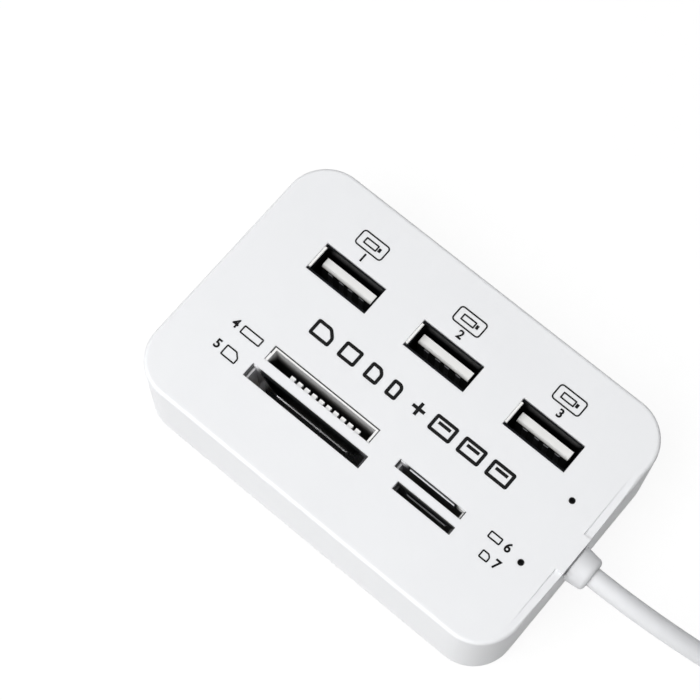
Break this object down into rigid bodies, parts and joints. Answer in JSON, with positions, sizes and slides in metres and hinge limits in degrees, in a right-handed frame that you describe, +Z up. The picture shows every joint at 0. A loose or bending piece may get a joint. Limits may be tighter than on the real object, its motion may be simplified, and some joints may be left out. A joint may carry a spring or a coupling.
{
  "type": "usb hub card reader",
  "caption": "Flat white desktop hub with upright rectangular ports, thin slots for memory cards, small indicator holes and a captive cable with a plug.",
  "frame": {"origin": "on the standing surface, below the middle of the housing", "axes": "+X along the housing to the cable end, +Y to the side with the ports, +Z up"},
  "size_m": [0.1626, 0.084, 0.0214],
  "materials": {
    "white_housing": "fine satin white moulding",
    "floor_plastic": "satin white moulding",
    "screw_steel": "zinc plated",
    "foot_rubber": "matt pale grey",
    "board": "green solder mask",
    "shell_steel": "plain tinned sheet",
    "tongue_plastic": "white moulding",
    "contact_gold": "gilded spring metal",
    "stick_plastic": "white moulding",
    "socket_black": "black moulding",
    "lamp_lens": "clear lens, unlit",
    "chip_black": "black moulding",
    "can_metal": "bright can",
    "header_plastic": "natural moulding",
    "wire_sleeve": "coloured sleeve",
    "cable_white": "white soft jacket",
    "tie_plastic": "white band",
    "plug_white": "white soft moulding"
  },
  "bodies": {
    "root": {"top_cover": "white_housing", "bottom_cover": "floor_plastic", "case_screws": "screw_steel", "main_board": "board", "foot_near_left": "foot_rubber", "foot_near_right": "foot_rubber", "foot_far_left": "foot_rubber", "foot_far_right": "foot_rubber", "port_1_shell": "shell_steel", "port_1_insulator": "tongue_plastic", "port_1_contacts": "contact_gold", "port_2_shell": "shell_steel", "port_2_insulator": "tongue_plastic", "port_2_contacts": "contact_gold", "port_3_shell": "shell_steel", "port_3_insulator": "tongue_plastic", "port_3_contacts": "contact_gold", "stick_socket": "stick_plastic", "stick_contacts": "contact_gold", "full_card_socket": "socket_black", "full_card_shield": "shell_steel", "full_card_contacts": "contact_gold", "mini_stick_socket": "socket_black", "mini_stick_shield": "shell_steel", "mini_stick_contacts": "contact_gold", "micro_card_socket": "socket_black", "micro_card_shield": "shell_steel", "micro_card_contacts": "contact_gold", "power_lamp": "lamp_lens", "card_lamp": "lamp_lens", "hub_chip": "chip_black", "card_chip": "chip_black", "clock_crystal": "can_metal", "port_capacitors": "chip_black", "wire_header": "header_plastic", "cable_wires": "wire_sleeve", "cable_inner_end": "cable_white", "cable_gland": "plug_white", "cable_lead": "cable_white", "cable_coil": "cable_white", "cable_tail": "cable_white", "coil_tie": "tie_plastic", "plug_body": "plug_white", "plug_shell": "shell_steel", "plug_insert": "tongue_plastic", "plug_contacts": "contact_gold"}
  },
  "joints": []
}
